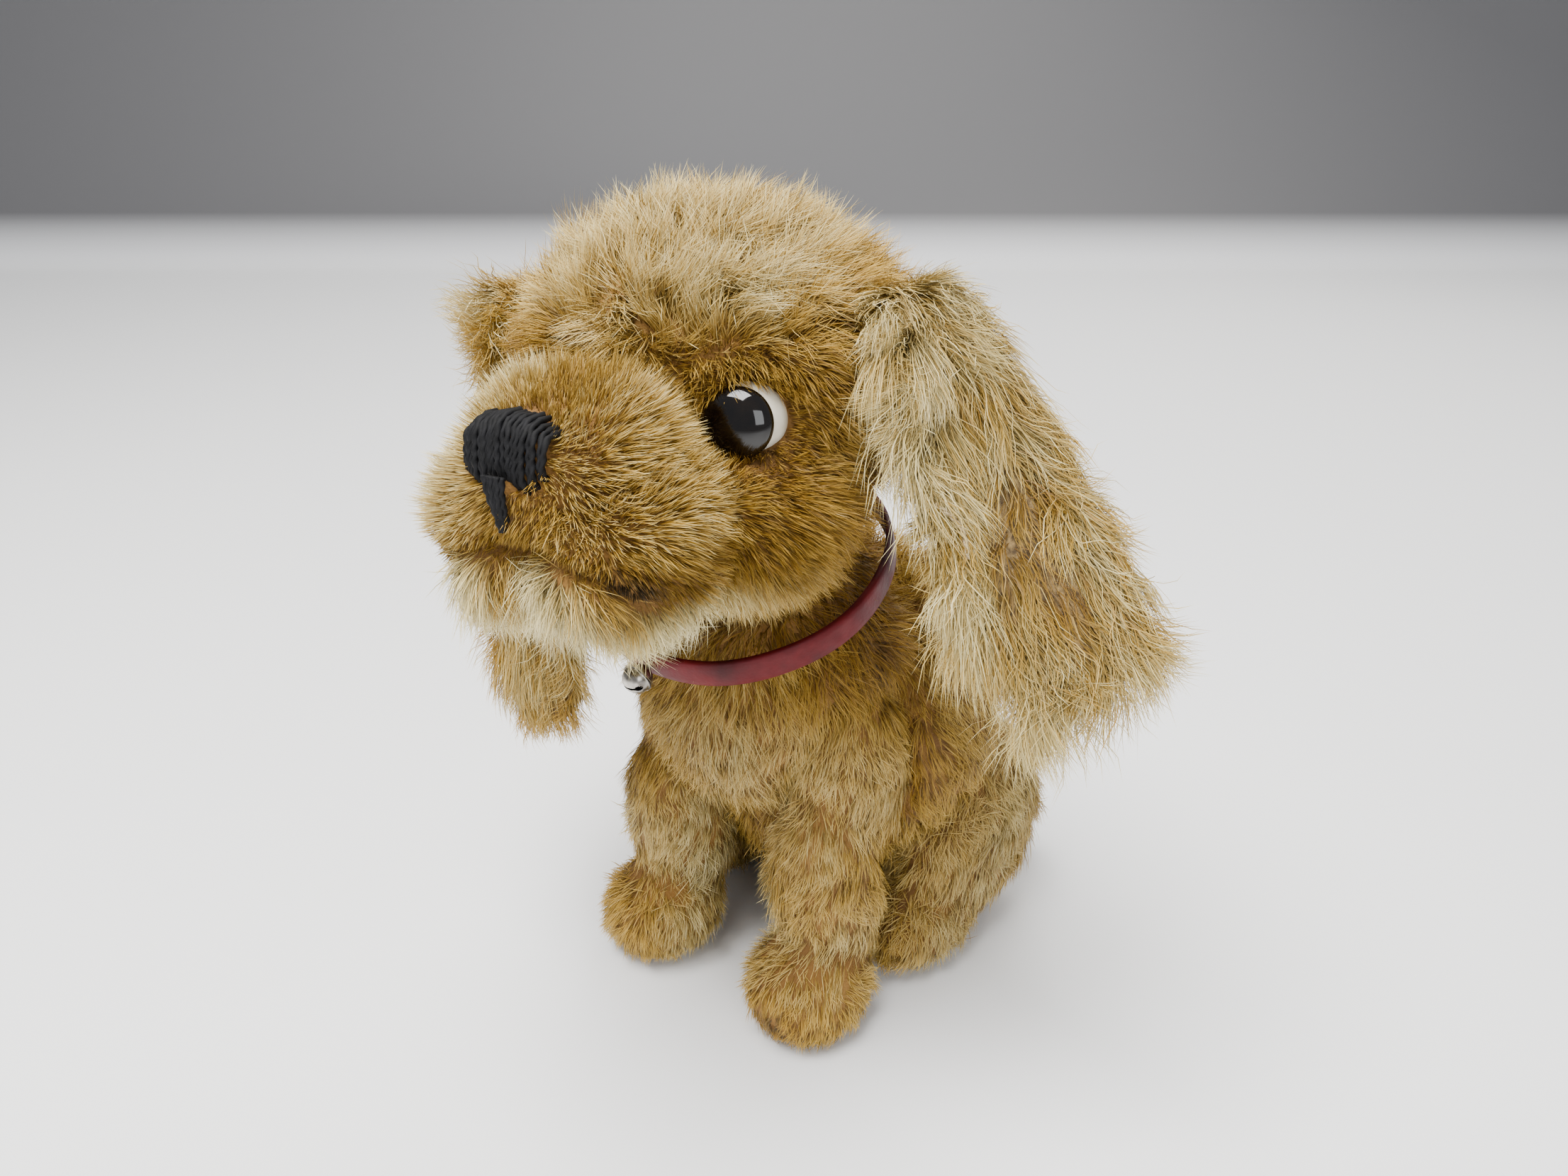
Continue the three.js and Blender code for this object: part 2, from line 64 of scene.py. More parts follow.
NECK_PLACE = Matrix.Translation(Vector(JOINTS["head_swivel"]["pos_m"]) / MM)
NECK_FRAME = NECK_PLACE @ Matrix.Rotation(math.radians(NECK_LEAN), 4, "X")
HEAD_FRAME = NECK_PLACE @ Matrix.Rotation(math.radians(HEAD_TURN), 4, Vector(JOINTS["head_swivel"]["axis"]))
STANCE = NECK_PLACE @ Matrix.Translation((0, -9, -81))  # the front paws' middle, on the floor
VIEW_TURN, VIEW_TILT = 37, 26  # degrees: the view's turn about Z, and how far it looks down
BELL_FRAME = Matrix.Translation(Vector(JOINTS["bell_spin"]["pos_m"]) / MM) @ Matrix.Rotation(
    math.radians(NECK_LEAN - 90), 4, "X")


def local(frame_matrix, points):
    """Points of the row frame as frame_matrix sees them."""
    inverse = np.array(frame_matrix.inverted())
    return points @ inverse[:3, :3].T + inverse[:3, 3]


def placed(frame_matrix, points):
    """Points given in frame_matrix, in the row frame."""
    m = np.array(frame_matrix)
    return points @ m[:3, :3].T + m[:3, 3]


def turned(frame_matrix, vectors):
    return vectors @ np.array(frame_matrix)[:3, :3].T


# ---------------------------------------------------------------- small helpers

def unit(vectors):
    return vectors / np.maximum(np.linalg.norm(vectors, axis=-1, keepdims=True), 1e-9)


def smoothstep(x, low, high):
    t = np.clip((x - low) / (high - low), 0, 1)
    return t * t * (3 - 2 * t)


def waves(points, size, seed):
    """Smooth noise in three components, about -1 to 1, with features of about size millimetres."""
    count = 10
    rng = np.random.default_rng(seed)
    total = np.zeros((len(points), 3))
    for _ in range(count):
        k = rng.normal(size=3)
        k *= rng.uniform(0.6, 1.6) * math.tau / size / np.linalg.norm(k) / 1.6
        total += np.sin(points @ k + rng.uniform(0, math.tau))[:, None] * rng.normal(size=3)
    return total / math.sqrt(count)


def tufts(points, size, seed):
    """The nearest of the tuft centres about size millimetres apart: its place and a random number."""
    cell = np.floor(points / size).astype(np.int64)
    best = np.full(len(points), np.inf)
    centre = np.zeros_like(points)
    number = np.zeros(len(points))
    for dx in (-1, 0, 1):
        for dy in (-1, 0, 1):
            for dz in (-1, 0, 1):
                c = cell + (dx, dy, dz)
                h = (c[:, 0] * 73856093) ^ (c[:, 1] * 19349663) ^ (c[:, 2] * 83492791) ^ (seed * 2654435)
                parts = [((h * m + 12345) >> 7) % 10007 / 10007 for m in (7919, 104729, 1299709, 15485863)]
                spot = (c + np.stack(parts[:3], 1)) * size
                distance = ((spot - points) ** 2).sum(1)
                near = distance < best
                best[near] = distance[near]
                centre[near] = spot[near]
                number[near] = parts[3][near]
    return centre, number


def linked(name, data):
    """An object of the data, in the scene."""
    made = bpy.data.objects.new(name, data)
    bpy.context.scene.collection.objects.link(made)
    return made


def mesh_object(name, vertices, faces, material):
    """A smooth mesh from vertices in millimetres in the row frame."""
    data = bpy.data.meshes.new(name)
    data.from_pydata((np.asarray(vertices) * MM).tolist(), [], [list(map(int, f)) for f in faces])
    data.materials.append(material)
    data.validate()
    data.shade_smooth()
    return linked(name, data)


def give(piece, body, slot, *replaced):
    """The piece rides on its CAD body and stands for CAD nodes. The slot is not used."""
    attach(piece, body)
    if replaced:
        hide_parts(*replaced)
    return piece


def applied(made):
    """The object with its modifiers made part of its mesh."""
    depsgraph = bpy.context.evaluated_depsgraph_get()
    data = bpy.data.meshes.new_from_object(made.evaluated_get(depsgraph))
    made.modifiers.clear()
    old = made.data
    made.data = data
    bpy.data.meshes.remove(old)
    return made


def remeshed(made, voxel):
    """The object as one closed surface of voxels that many millimetres across."""
    remesh = made.modifiers.new("remesh", "REMESH")
    remesh.mode = "VOXEL"
    remesh.voxel_size = voxel * MM
    return applied(made)


def coordinates(data):
    co = np.zeros(len(data.vertices) * 3)
    data.vertices.foreach_get("co", co)
    return co.reshape(-1, 3) / MM


def set_coordinates(data, points):
    data.vertices.foreach_set("co", (points * MM).ravel())
    data.update()


# ---------------------------------------------------------------- materials

def nodes_of(name, roughness=0.5, metallic=0.0):
    material = bpy.data.materials.new(name)
    material.use_nodes = True
    tree = material.node_tree
    shader = tree.nodes["Principled BSDF"]
    shader.inputs["Roughness"].default_value = roughness
    shader.inputs["Metallic"].default_value = metallic
    return material, tree, shader


def ramp(tree, factor, stops):
    node = tree.nodes.new("ShaderNodeValToRGB")
    node.color_ramp.elements[0].position = stops[0][0]
    node.color_ramp.elements[0].color = linear(stops[0][1])
    node.color_ramp.elements[1].position = stops[-1][0]
    node.color_ramp.elements[1].color = linear(stops[-1][1])
    for position, colour in stops[1:-1]:
        node.color_ramp.elements.new(position).color = linear(colour)
    tree.links.new(factor, node.inputs["Fac"])
    return node.outputs["Color"]


def linear(rgb):
    """A colour from 0 to 255 as the screen shows it, made linear."""
    c = np.array(rgb) / 255
    return [*np.where(c <= 0.04045, c / 12.92, ((c + 0.055) / 1.055) ** 2.4), 1]


def noise(tree, scale, detail):
    where = tree.nodes.new("ShaderNodeTexCoord")
    node = tree.nodes.new("ShaderNodeTexNoise")
    node.inputs["Scale"].default_value = scale
    node.inputs["Detail"].default_value = detail
    tree.links.new(where.outputs["Object"], node.inputs["Vector"])
    return node.outputs["Fac"]


def bump(tree, shader, height, strength, distance):
    node = tree.nodes.new("ShaderNodeBump")
    node.inputs["Strength"].default_value = strength
    node.inputs["Distance"].default_value = distance * MM
    tree.links.new(height, node.inputs["Height"])
    tree.links.new(node.outputs["Normal"], shader.inputs["Normal"])


def mixed(tree, blend_type, factor, a, b):
    node = tree.nodes.new("ShaderNodeMix")
    node.data_type = "RGBA"
    node.blend_type = blend_type
    for socket, value in ((node.inputs["Factor"], factor), (node.inputs["A"], a), (node.inputs["B"], b)):
        if isinstance(value, bpy.types.NodeSocket):
            tree.links.new(value, socket)
        else:
            socket.default_value = value
    return node.outputs["Result"]


# Pile colours from darkest to palest; the dark end also serves as painted shade. A strand's U coordinate
# picks one, and V runs from root to tip.
GOLD, BLOND, CREAM = 0.48, 0.80, 1.00
PILE_HUES = [
    (0.00, (82, 70, 48)),
    (0.16, (128, 102, 50)),
    (0.32, (177, 134, 38)),
    (GOLD, (200, 162, 64)),
    (0.64, (210, 177, 98)),
    (BLOND, (224, 202, 138)),
    (CREAM, (244, 232, 186)),
]


def pile_material():
    material, tree, shader = nodes_of("mohair_pile", 0.55)
    uv = tree.nodes.new("ShaderNodeUVMap")
    uv.uv_map = "OFBake"
    split = tree.nodes.new("ShaderNodeSeparateXYZ")
    tree.links.new(uv.outputs["UV"], split.inputs["Vector"])
    hue = ramp(tree, split.outputs["X"], PILE_HUES)
    # V's ramp is painted shade: it darkens each strand towards its root, as shade down among the strands, and
    # lightens to the tip.
    shade = ramp(tree, split.outputs["Y"], [
        (0.0, (68, 56, 30)), (0.35, (148, 136, 100)), (0.7, (216, 210, 188)), (1.0, (255, 255, 255))])
    tree.links.new(mixed(tree, "MULTIPLY", 1.0, hue, shade), shader.inputs["Base Color"])
    shader.inputs["Specular IOR Level"].default_value = 0.4
    return material


def backing_material():
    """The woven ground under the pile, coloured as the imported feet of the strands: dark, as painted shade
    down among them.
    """
    material, tree, shader = nodes_of("mohair_backing", 0.9)
    stops = [(0.3, (92, 62, 24)), (0.55, (128, 90, 36)), (0.75, (152, 114, 56))]
    colour = ramp(tree, noise(tree, 90, 5), stops)
    tree.links.new(colour, shader.inputs["Base Color"])
    bump(tree, shader, noise(tree, 2600, 3), 0.8, 0.3)
    return material


def ear_backing_material():
    material, tree, shader = nodes_of("ear_backing", 0.9)
    colour = ramp(tree, noise(tree, 900, 5), [(0.35, (70, 54, 32)), (0.65, (142, 116, 72))])
    tree.links.new(colour, shader.inputs["Base Color"])
    bump(tree, shader, noise(tree, 2600, 3), 0.8, 0.3)
    return material


def floss_material():
    material, tree, shader = nodes_of("black_floss", 0.75)
    colour = ramp(tree, noise(tree, 900, 3), [(0.3, (4, 4, 5)), (0.7, (17, 17, 20))])
    tree.links.new(colour, shader.inputs["Base Color"])
    bump(tree, shader, noise(tree, 6000, 2), 0.5, 0.05)
    shader.inputs["Specular IOR Level"].default_value = 0.25
    return material


def leather_material():
    material, tree, shader = nodes_of("crimson_leather", 0.5)
    colour = ramp(tree, noise(tree, 160, 6), [(0.3, (54, 6, 10)), (0.55, (84, 12, 18)), (0.8, (108, 24, 28))])
    shader.inputs["Specular IOR Level"].default_value = 0.18
    tree.links.new(colour, shader.inputs["Base Color"])
    grain = tree.nodes.new("ShaderNodeTexVoronoi")
    where = tree.nodes.new("ShaderNodeTexCoord")
    tree.links.new(where.outputs["Object"], grain.inputs["Vector"])
    grain.inputs["Scale"].default_value = 1900
    bump(tree, shader, grain.outputs["Distance"], 0.25, 0.08)
    tree.links.new(ramp(tree, noise(tree, 240, 5), [(0.3, (172, 172, 172)), (0.7, (206, 206, 206))]),
                   shader.inputs["Roughness"])
    return material


def metal_material(name, dark, light, roughness):
    material, tree, shader = nodes_of(name, roughness, 1.0)
    tarnish = noise(tree, 500, 6)
    tree.links.new(ramp(tree, tarnish, [(0.35, dark), (0.65, light)]), shader.inputs["Base Color"])
    bump(tree, shader, noise(tree, 1500, 4), 0.15, 0.04)
    return material


def glass_material(name, low, high, coat):
    material, tree, shader = nodes_of(name, 0.06)
    tree.links.new(ramp(tree, noise(tree, 260, 4), [(0.35, low), (0.7, high)]), shader.inputs["Base Color"])
    shader.inputs["Coat Weight"].default_value = coat
    shader.inputs["Coat Roughness"].default_value = 0.02
    shader.inputs["IOR"].default_value = 1.52
    return material


def fibre_material(name, dark, light, scale):
    material, tree, shader = nodes_of(name, 0.85)
    where = tree.nodes.new("ShaderNodeTexCoord")
    mapping = tree.nodes.new("ShaderNodeMapping")
    mapping.inputs["Scale"].default_value = (1, 1, 8)
    fibres = tree.nodes.new("ShaderNodeTexNoise")
    fibres.inputs["Scale"].default_value = scale
    fibres.inputs["Detail"].default_value = 6
    tree.links.new(where.outputs["Object"], mapping.inputs["Vector"])
    tree.links.new(mapping.outputs["Vector"], fibres.inputs["Vector"])
    colour = ramp(tree, fibres.outputs["Fac"], [(0.3, dark), (0.7, light)])
    tree.links.new(colour, shader.inputs["Base Color"])
    bump(tree, shader, fibres.outputs["Fac"], 0.6, 0.3)
    return material


PILE = pile_material()
BACKING = backing_material()
EAR_BACKING = ear_backing_material()
FLOSS = floss_material()
LEATHER = leather_material()
NICKEL = metal_material("worn_nickel", (96, 90, 84), (196, 190, 180), 0.28)
STEEL = metal_material("plain_steel", (110, 110, 112), (170, 170, 172), 0.4)
BOARD = fibre_material("fibreboard", (96, 70, 42), (150, 116, 76), 300)
WHITE_GLASS = glass_material("white_glass", (206, 196, 172), (236, 230, 214), 0.6)
BLACK_GLASS = glass_material("black_glass", (3, 2, 2), (16, 10, 6), 0.0)
YARN = fibre_material("cream_yarn", (170, 146, 104), (222, 202, 160), 1200)

# ---------------------------------------------------------------- sewn skins


def neighbour_mean(points, edges):
    total = np.zeros_like(points)
    count = np.zeros(len(points))
    for a, b in ((0, 1), (1, 0)):
        np.add.at(total, edges[:, a], points[edges[:, b]])
        np.add.at(count, edges[:, a], 1)
    return total / np.maximum(count, 1)[:, None]


def vertex_normals(data):
    normals = np.zeros(len(data.vertices) * 3)
    data.vertices.foreach_get("normal", normals)
    return normals.reshape(-1, 3)


def outer_shell(data):
    """Keeps the connected part of a mesh that is largest across, so that no inner wall is left."""
    grid = bmesh.new()
    grid.from_mesh(data)
    left = set(grid.verts)
    groups = []
    while left:
        stack = [left.pop()]
        group = list(stack)
        while stack:
            for edge in stack.pop().link_edges:
                for v in edge.verts:
                    if v in left:
                        left.remove(v)
                        stack.append(v)
                        group.append(v)
        groups.append(group)
    keep = max(groups, key=lambda g: max(v.co.x for v in g) - min(v.co.x for v in g) + len(g) * 1e-9)
    bmesh.ops.delete(grid, geom=[v for g in groups if g is not keep for v in g], context="VERTS")
    grid.to_mesh(data)
    grid.free()


def skin(name, nodes, plugs=(), voxel=1.1, rounds=8, inset=0.6, material=BACKING):
    """One smooth closed skin over CAD covers. The plugs close the covers' openings while it is made."""
    joined = bmesh.new()
    for n in (*nodes, *plugs):
        joined.from_mesh(NODES[n].data)
    bmesh.ops.remove_doubles(joined, verts=joined.verts, dist=1e-7)
    data = bpy.data.meshes.new(name)
    joined.to_mesh(data)
    joined.free()
    set_coordinates(data, coordinates(data) + 0.25 * vertex_normals(data))
    made = remeshed(linked(name, data), voxel)
    outer_shell(made.data)
    data = made.data
    edges = np.zeros(len(data.edges) * 2, np.int64)
    data.edges.foreach_get("vertices", edges)
    edges = edges.reshape(-1, 2)
    points = coordinates(data)
    for _ in range(rounds):
        points += 0.6 * (neighbour_mean(points, edges) - points)
    set_coordinates(data, points)
    points -= inset * vertex_normals(data)
    points[:, 2] = np.maximum(points[:, 2], 0.05)
    set_coordinates(data, points)
    data.materials.clear()
    data.materials.append(material)
    data.shade_smooth()
    return made


def plumped(base, cap):
    """Presses the filling out into a sewn skin by a cloth simulation, moving it by no more than cap."""
    frames = 20
    coarse = remeshed(linked("plumping", base.data.copy()), 4)
    before = coordinates(coarse.data)
    cloth = coarse.modifiers.new("cloth", "CLOTH")
    cloth.settings.quality = 6
    cloth.settings.use_pressure = True
    cloth.settings.uniform_pressure_force = 4
    cloth.settings.effector_weights.gravity = 0
    cloth.point_cache.frame_start = 1
    cloth.point_cache.frame_end = frames
    for step in range(1, frames + 1):
        bpy.context.scene.frame_set(step)
    applied(coarse)
    bpy.context.scene.frame_set(1)
    move = coordinates(coarse.data) - before
    move *= np.minimum(1, cap / np.maximum(np.linalg.norm(move, axis=1), 1e-9))[:, None]
    nearby = KDTree(len(before))
    for i, p in enumerate(before):
        nearby.insert(p, i)
    nearby.balance()
    points = coordinates(base.data)
    for i, p in enumerate(points):
        found = nearby.find_n(p, 4)
        weight = np.array([1 / (0.5 + distance) for _, _, distance in found])
        points[i] += weight @ move[[index for _, index, _ in found]] / weight.sum()
    points[:, 2] = np.maximum(points[:, 2], 0.05)
    set_coordinates(base.data, points)
    bpy.data.objects.remove(coarse)


# ---------------------------------------------------------------- strands of pile

LARGEST = 195000  # triangles in one piece of pile


def scatter(data, count, density, seed):
    """Random places on a mesh, with their normals, as thick on the ground as density says."""
    data.calc_loop_triangles()
    triangles = np.zeros(len(data.loop_triangles) * 3, np.int64)
    data.loop_triangles.foreach_get("vertices", triangles)
    triangles = triangles.reshape(-1, 3)
    points = coordinates(data)
    normals = vertex_normals(data)
    corners = points[triangles]
    area = np.linalg.norm(np.cross(corners[:, 1] - corners[:, 0], corners[:, 2] - corners[:, 0]), axis=1)
    weight = area * density(corners.mean(1), unit(normals[triangles].mean(1)))
    rng = np.random.default_rng(seed)
    chosen = rng.choice(len(area), size=count, p=weight / weight.sum())
    a, b = rng.random((2, count))
    flip = a + b > 1
    a[flip], b[flip] = 1 - a[flip], 1 - b[flip]
    shares = np.stack([1 - a - b, a, b], 1)[:, :, None]
    return (corners[chosen] * shares).sum(1), unit((normals[triangles[chosen]] * shares).sum(1))


def strands(name, body, slot, roots, normals, look, seed, width, parts):
    """One mesh of tapering ribbons of so many parts. look gives their length, comb, lift, hue and tufts."""
    rng = np.random.default_rng(seed)
    count = len(roots)
    centre, number = tufts(roots, look["tuft"], seed)
    stray = rng.random(count) < look["stray"]
    tuft_noise = waves(centre, look["tuft"] * 2.2, seed + 1)
    comb = look["comb"] + look["mess"] * tuft_noise + 0.22 * rng.normal(size=(count, 3))
    comb -= (comb * normals).sum(1, keepdims=True) * normals
    comb = unit(comb)
    lift = np.clip(look["lift"] + 0.16 * rng.normal(size=count) + 0.2 * (number - 0.5), 0.06, 1)
    lift = np.where(stray, np.clip(lift + 0.35, 0, 1), lift)[:, None]
    direction = unit(comb * np.sqrt(1 - lift**2) + normals * lift)
    length = look["length"] * (0.72 + 0.5 * rng.random(count)) * (0.8 + 0.4 * number)
    pull = (centre - roots) - ((centre - roots) * normals).sum(1, keepdims=True) * normals
    pull *= np.where(stray, 0.1, look["gather"])[:, None]
    side = unit(np.cross(direction, normals))
    phase = number * math.tau + rng.normal(size=count) * 0.5
    steps = np.linspace(0, 1, parts + 1)
    droop = look.get("droop", 0.0)
    line = []
    for t in steps:
        wave = look["wave"] * length * t * np.sin(phase + t * look.get("curls", 3.0))
        p = roots - 0.3 * normals + direction * (length * t)[:, None] + pull * t**1.4 + side * wave[:, None]
        bend = look.get("bend", 1.0) * length * t * t
        p = p + comb * (0.25 * bend)[:, None] - normals * (0.16 * bend)[:, None]
        p[:, 2] -= droop * length * t * t
        p[:, 2] = np.maximum(p[:, 2], 0.08 + 0.25 * number)
        line.append(p)
    line = np.stack(line, 1)
    along = unit(np.gradient(line, axis=1))
    across = unit(np.cross(along, normals[:, None, :] + 0.45 * rng.normal(size=(count, 1, 3))))
    taper = 1 - 0.4 * steps[:parts] ** 2
    half = 0.5 * width * (0.7 + 0.6 * rng.random(count))[:, None, None] * taper[None, :, None]
    left = line[:, :parts] - across[:, :parts] * half
    right = line[:, :parts] + across[:, :parts] * half
    edges = np.stack([left, right], 2).reshape(count, -1, 3)
    vertices = np.concatenate([edges, line[:, -1:]], 1).reshape(-1, 3)
    first = np.arange(count)[:, None] * (2 * parts + 1)
    quads = np.array([[2 * i, 2 * i + 1, 2 * i + 3, 2 * i + 2] for i in range(parts - 1)])
    quads = (first[:, :, None] + quads[None]).reshape(count, -1)
    tip = first + np.array([2 * parts - 2, 2 * parts - 1, 2 * parts])
    loops = np.concatenate([quads, tip], 1)
    sizes = np.tile([4] * (parts - 1) + [3], count)
    data = bpy.data.meshes.new(name)
    data.vertices.add(len(vertices))
    data.vertices.foreach_set("co", (vertices * MM).ravel())
    data.loops.add(loops.size)
    data.loops.foreach_set("vertex_index", loops.ravel())
    data.polygons.add(len(sizes))
    data.polygons.foreach_set("loop_start", np.concatenate([[0], np.cumsum(sizes)[:-1]]))
    hue = look["hue"] + look.get("motley", 0.05) * rng.normal(size=count) + 0.07 * (number - 0.5)
    shift = 0.16 * rng.random(count)
    pale = np.broadcast_to(look["pale"], count)
    # light is painted light and shade: how far up the shade ramp a strand's tip reaches, higher where light
    # falls on the pile, lower where it lies in shade.
    light = np.broadcast_to(look.get("light", 0.72), count)
    step_of = np.minimum(np.arange(2 * parts + 1) // 2, parts) / parts
    u = np.clip(hue[:, None] + pale[:, None] * step_of[None] ** 2, 0.01, 0.99)
    v = np.clip(0.12 + shift[:, None] + light[:, None] * step_of[None], 0.01, 0.99)
    uv = np.stack([u, v], -1).reshape(-1, 2)
    layer = data.uv_layers.new(name="OFBake")
    layer.data.foreach_set("uv", uv[loops.ravel()].astype(np.float32).ravel())
    data.polygons.foreach_set("use_smooth", np.ones(len(sizes), bool))
    data.materials.append(PILE)
    data.update(calc_edges=True)
    return give(linked(name, data), body, slot)


def furred(name, body, slot, base, count, look_of, density=None, *, seed, width=0.14, parts=3):
    """Covers a skin with pile. look_of gives the looks at points and normals in the row frame."""
    density = density or (lambda points, normals: np.ones(len(points)))
    roots, normals = scatter(base.data, count, density, seed)
    look = look_of(roots, normals)
    keep = look.pop("keep", np.ones(len(roots), bool))
    roots, normals = roots[keep], normals[keep]
    look = {k: (v[keep] if isinstance(v, np.ndarray) and len(v) == len(keep) else v) for k, v in look.items()}
    most = LARGEST // (2 * parts - 1)
    for i in range(0, len(roots), most):
        part = slice(i, i + most)
        some = {k: (v[part] if isinstance(v, np.ndarray) and v.ndim else v) for k, v in look.items()}
        label = name if len(roots) <= most else f"{name}_{i // most + 1}"
        strands(label, body, slot, roots[part], normals[part], some, seed, width, parts)


# ---------------------------------------------------------------- head

EYES = {side: np.array([side * 15.7, -21.3, 29.5]) for side in (1, -1)}
NOSE = np.array([0, -48.2, 31.4])
GUSSET_Y = [-60, -34, -18, -4, 10, 30]
GUSSET_HALF = [5.5, 9, 16, 17.5, 14, 8]


def puffed(p):
    """How much points of the head's frame are on the muzzle's two round sides."""
    x, y, z = p.T
    return (1 - smoothstep(y, -33, -25)) * smoothstep(np.abs(x), 2, 9) * smoothstep(z, 17, 23)


def mouth(p):
    """How much points of the head's frame are in the mouth's crease, just above it, and below it."""
    x, y, z = p.T
    rise = z - 19.4 + 1.2 * smoothstep(np.abs(x), 3, 10) + 5 * smoothstep(np.abs(x), 10, 14.5)
    front = 1 - smoothstep(y, -42, -36)
    above = smoothstep(rise, 0, 1) * (1 - smoothstep(rise, 2, 6))
    return np.exp(-((rise / 1.3) ** 2)) * front, above * front, 1 - smoothstep(rise, -1.6, 0.4)


def head_look(points, normals):
    p = local(HEAD_FRAME, points)
    x, y, z = p.T
    side = np.sign(x)
    patch = waves(p, 15, 5)[:, 0]
    gusset = (1 - smoothstep(np.abs(x) - np.interp(y, GUSSET_Y, GUSSET_HALF), -0.6, 0.6)) * (z > 18)
    muzzle = 1 - smoothstep(y, -33, -25)
    top = smoothstep(z, 35, 42) * (1 - muzzle)
    crease, above, below = mouth(p)
    lip = below * (1 - smoothstep(y, -34, -22))
    chin = (1 - smoothstep(z, 7, 12)) * (1 - smoothstep(y, -30, -12))
    back = smoothstep(y, 2, 14)
    temple = smoothstep(np.abs(x), 18, 25) * smoothstep(z, 30, 38)
    eye = np.min([np.linalg.norm(p - e, axis=1) for e in EYES.values()], 0)
    brow = (1 - smoothstep(eye, 7, 11)) * smoothstep(z, 31, 35)
    nose = np.linalg.norm((p - NOSE) * (0.8, 0.5, 1), axis=1)

    under = (1 - smoothstep(z, 2, 10)) * smoothstep(y, -32, -22)
    puff = puffed(p)
    jaw = smoothstep(np.abs(x), 12, 18) * (1 - smoothstep(z, 16, 26)) * smoothstep(y, -20, -12)
    length = 4.2 + 2.8 * top - 0.7 * muzzle + 2.6 * np.maximum(lip, 0.6 * chin) + 1.8 * temple + 1.5 * under
    length += 0.9 * puff + 1.8 * jaw + 1.4 * temple * (x < 0)
    length *= 0.5 + 0.5 * smoothstep(eye, 6, 12) + 0.5 * brow
    length *= 0.6 + 0.4 * smoothstep(nose, 5.5, 9)
    # Two dark spots at the mouth with shorter, duller pile: partly the mouth's airbrushed mark, partly
    # painted shade in the mouth's crease.
    mouth_mark_and_shade = np.exp(-((np.linalg.norm((p - (12.4, -45.8, 16.0)) / (5.2, 6, 3.4), axis=1)) ** 2))
    mouth_mark_and_shade += np.exp(-((np.linalg.norm((p - (-3.4, -48, 15.4)) / (2.0, 6, 4.0), axis=1)) ** 2))
    mouth_mark_and_shade = np.minimum(mouth_mark_and_shade, 1)
    length *= 1 - 0.6 * crease - 0.4 * above * (1 - crease) - 0.3 * mouth_mark_and_shade * (1 - above)

    sweep = np.stack([0.5 * side * np.minimum(np.abs(x) / 14, 1), 0.5 + 0 * x, -0.75 + 0 * x], 1)
    crown = np.stack([0.45 * x / 14, 0.8 + 0 * x, 0.1 + 0 * x], 1)
    from_nose = unit(p - NOSE) + np.array([0, 0.4, -0.15])
    comb = sweep * (1 - top)[:, None] + crown * top[:, None]
    comb = comb * (1 - muzzle)[:, None] + from_nose * muzzle[:, None]
    down = np.maximum(lip, chin)[:, None]
    comb = comb * (1 - down) + np.array([0, 0.15, -1.2]) * down
    for e in EYES.values():
        near = 1 - smoothstep(np.linalg.norm(p - e, axis=1), 6, 10)
        near = near * (1 - smoothstep(z - e[2], 1, 5))
        comb = comb * (1 - near)[:, None] + unit(p - e) * near[:, None] * 1.4
    comb += np.array([0, -0.6, -0.9]) * brow[:, None]
    comb += np.array([-1.0, 0, 0.5]) * (temple * (x < 0))[:, None]
    velvet = np.maximum(muzzle, 1 - smoothstep(y, -22, -8)) * (1 - down[:, 0]) * (1 - top)
    lift = 0.5 + 0.18 * top + 0.42 * velvet - 0.08 * down[:, 0] - 0.12 * back + 0.25 * np.maximum(under, jaw)

    hue = GOLD - 0.08 + gusset * (1 - muzzle) * (0.2 * top - 0.03) - 0.02 * muzzle + 0.09 * patch
    # The muzzle's left side (x < -2) is painted paler: painted light on that side.
    hue = hue + 0.12 * back * (1 - top) - 0.08 * (1 - smoothstep(eye, 7, 13)) + 0.14 * muzzle * (x < -2)
    hue = hue + (CREAM - hue) * np.maximum(lip, 0.7 * chin) * 0.95
    # Painted shade: darker in the mouth's crease and under the chin.
    hue = hue - 0.7 * mouth_mark_and_shade - 0.25 * crease - 0.15 * under
    return {
        "length": length, "comb": turned(HEAD_FRAME, comb), "lift": lift, "hue": hue,
        "tuft": 2.1, "gather": 0.2 + 0.4 * top + 0.6 * lip, "mess": (0.35 + 0.75 * top)[:, None],
        # pale: paler tips on the muzzle, its puffs and the crown, partly their own colour and partly painted
        # light shining through them. light: the face painted darker as in shade, the crown painted lighter as
        # lit from above, the lip and puffs lighter and the mouth spots darker.
        "pale": 0.06 + 0.12 * muzzle + 0.34 * puff + 0.22 * top, "stray": 0.1, "wave": 0.06 + 0.08 * top,
        "motley": 0.08, "light": 0.53 + 0.24 * top + 0.27 * np.maximum(lip, puff) - 0.3 * mouth_mark_and_shade,
        "bend": 1 - 0.8 * velvet, "keep": (eye > 5.0) & (nose > 4.35),
    }


def head_density(points, normals):
    p = local(HEAD_FRAME, points)
    under = 1 - smoothstep(p[:, 2], -4, 2)
    back = smoothstep(p[:, 1], 2, 14)
    return 1 - 0.5 * under * (p[:, 1] > -14) - 0.3 * back


